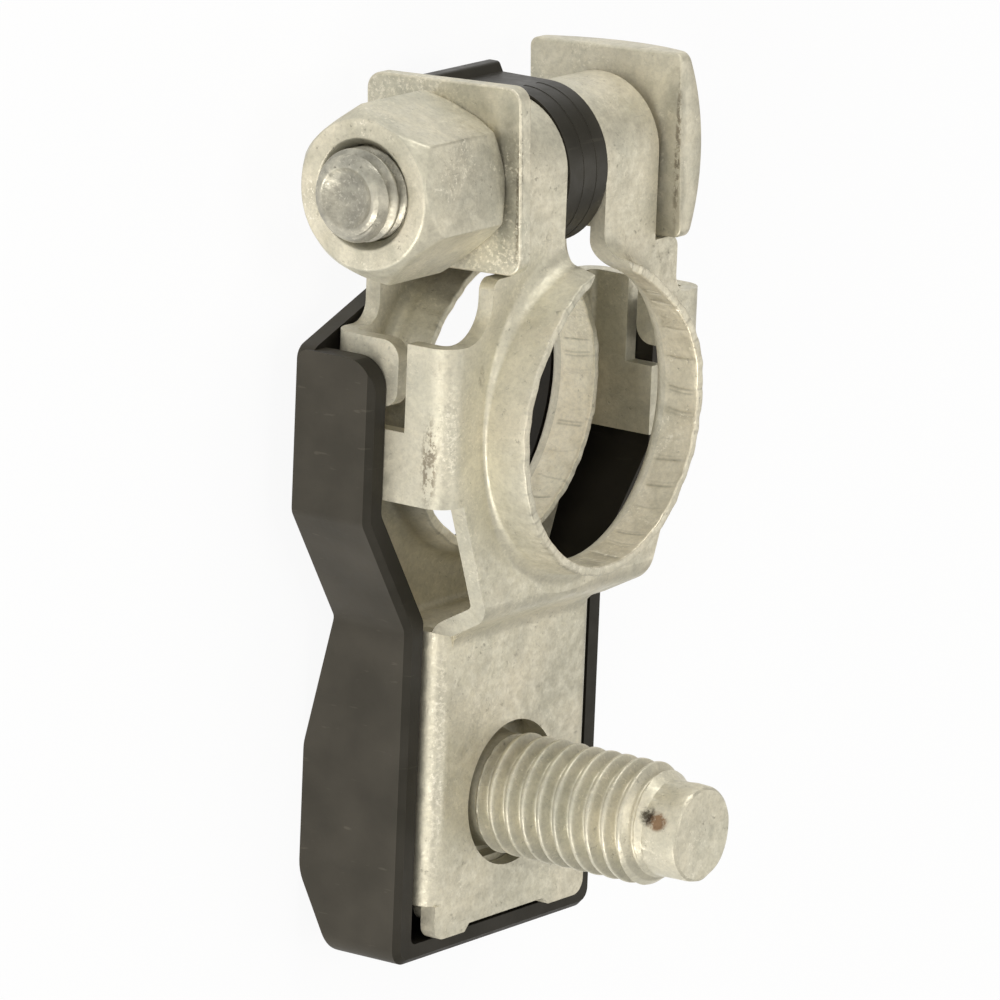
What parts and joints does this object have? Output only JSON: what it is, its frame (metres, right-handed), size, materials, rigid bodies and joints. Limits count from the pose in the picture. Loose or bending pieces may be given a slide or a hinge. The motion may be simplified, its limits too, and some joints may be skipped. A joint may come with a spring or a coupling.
{
  "type": "battery terminal clamp",
  "caption": "Folded sheet metal clamp for a round battery post, with a clamp bolt and nut at one end, a threaded stud for a cable lug at the other, and a black moulded cover on its back.",
  "frame": {"origin": "on the axis of the post bore, at the outer face of the front layer of the folded sheet", "axes": "+Z along the post and the cable stud, away from the battery; +X along the clamp bolt towards its square head; +Y from the cable stud towards the clamp bolt"},
  "size_m": [0.0348, 0.0576, 0.0237],
  "materials": {
    "plated_sheet": "matt tin plating, lightly pitted and scratched",
    "plated_fastener": "satin plating, worn bright at the edges",
    "black_rubber": "matt",
    "black_plastic": "fine moulded texture"
  },
  "bodies": {
    "clamp": {"clamp_body": "plated_sheet", "terminal_stud": "plated_fastener", "clamp_bolt": "plated_fastener", "ear_spacer": "black_rubber", "insulator_cover": "black_plastic"},
    "washer": {"square_washer": "plated_fastener"},
    "nut": {"clamp_nut": "plated_fastener"}
  },
  "joints": [
    {"name": "washer_slide", "type": "slide", "parent": "clamp", "child": "washer", "axis": [-1, 0, 0], "range_m": [0, 0.003]},
    {"name": "nut_turn", "type": "hinge", "parent": "washer", "child": "nut", "pos_m": [-0.0133, 0.0159, -0.00465], "axis": [-1, 0, 0], "range_deg": [0, 1080]}
  ],
  "couplings": [
    {"joint": "nut_turn", "follows": "washer_slide", "rad_per_m": 6283.1}
  ]
}
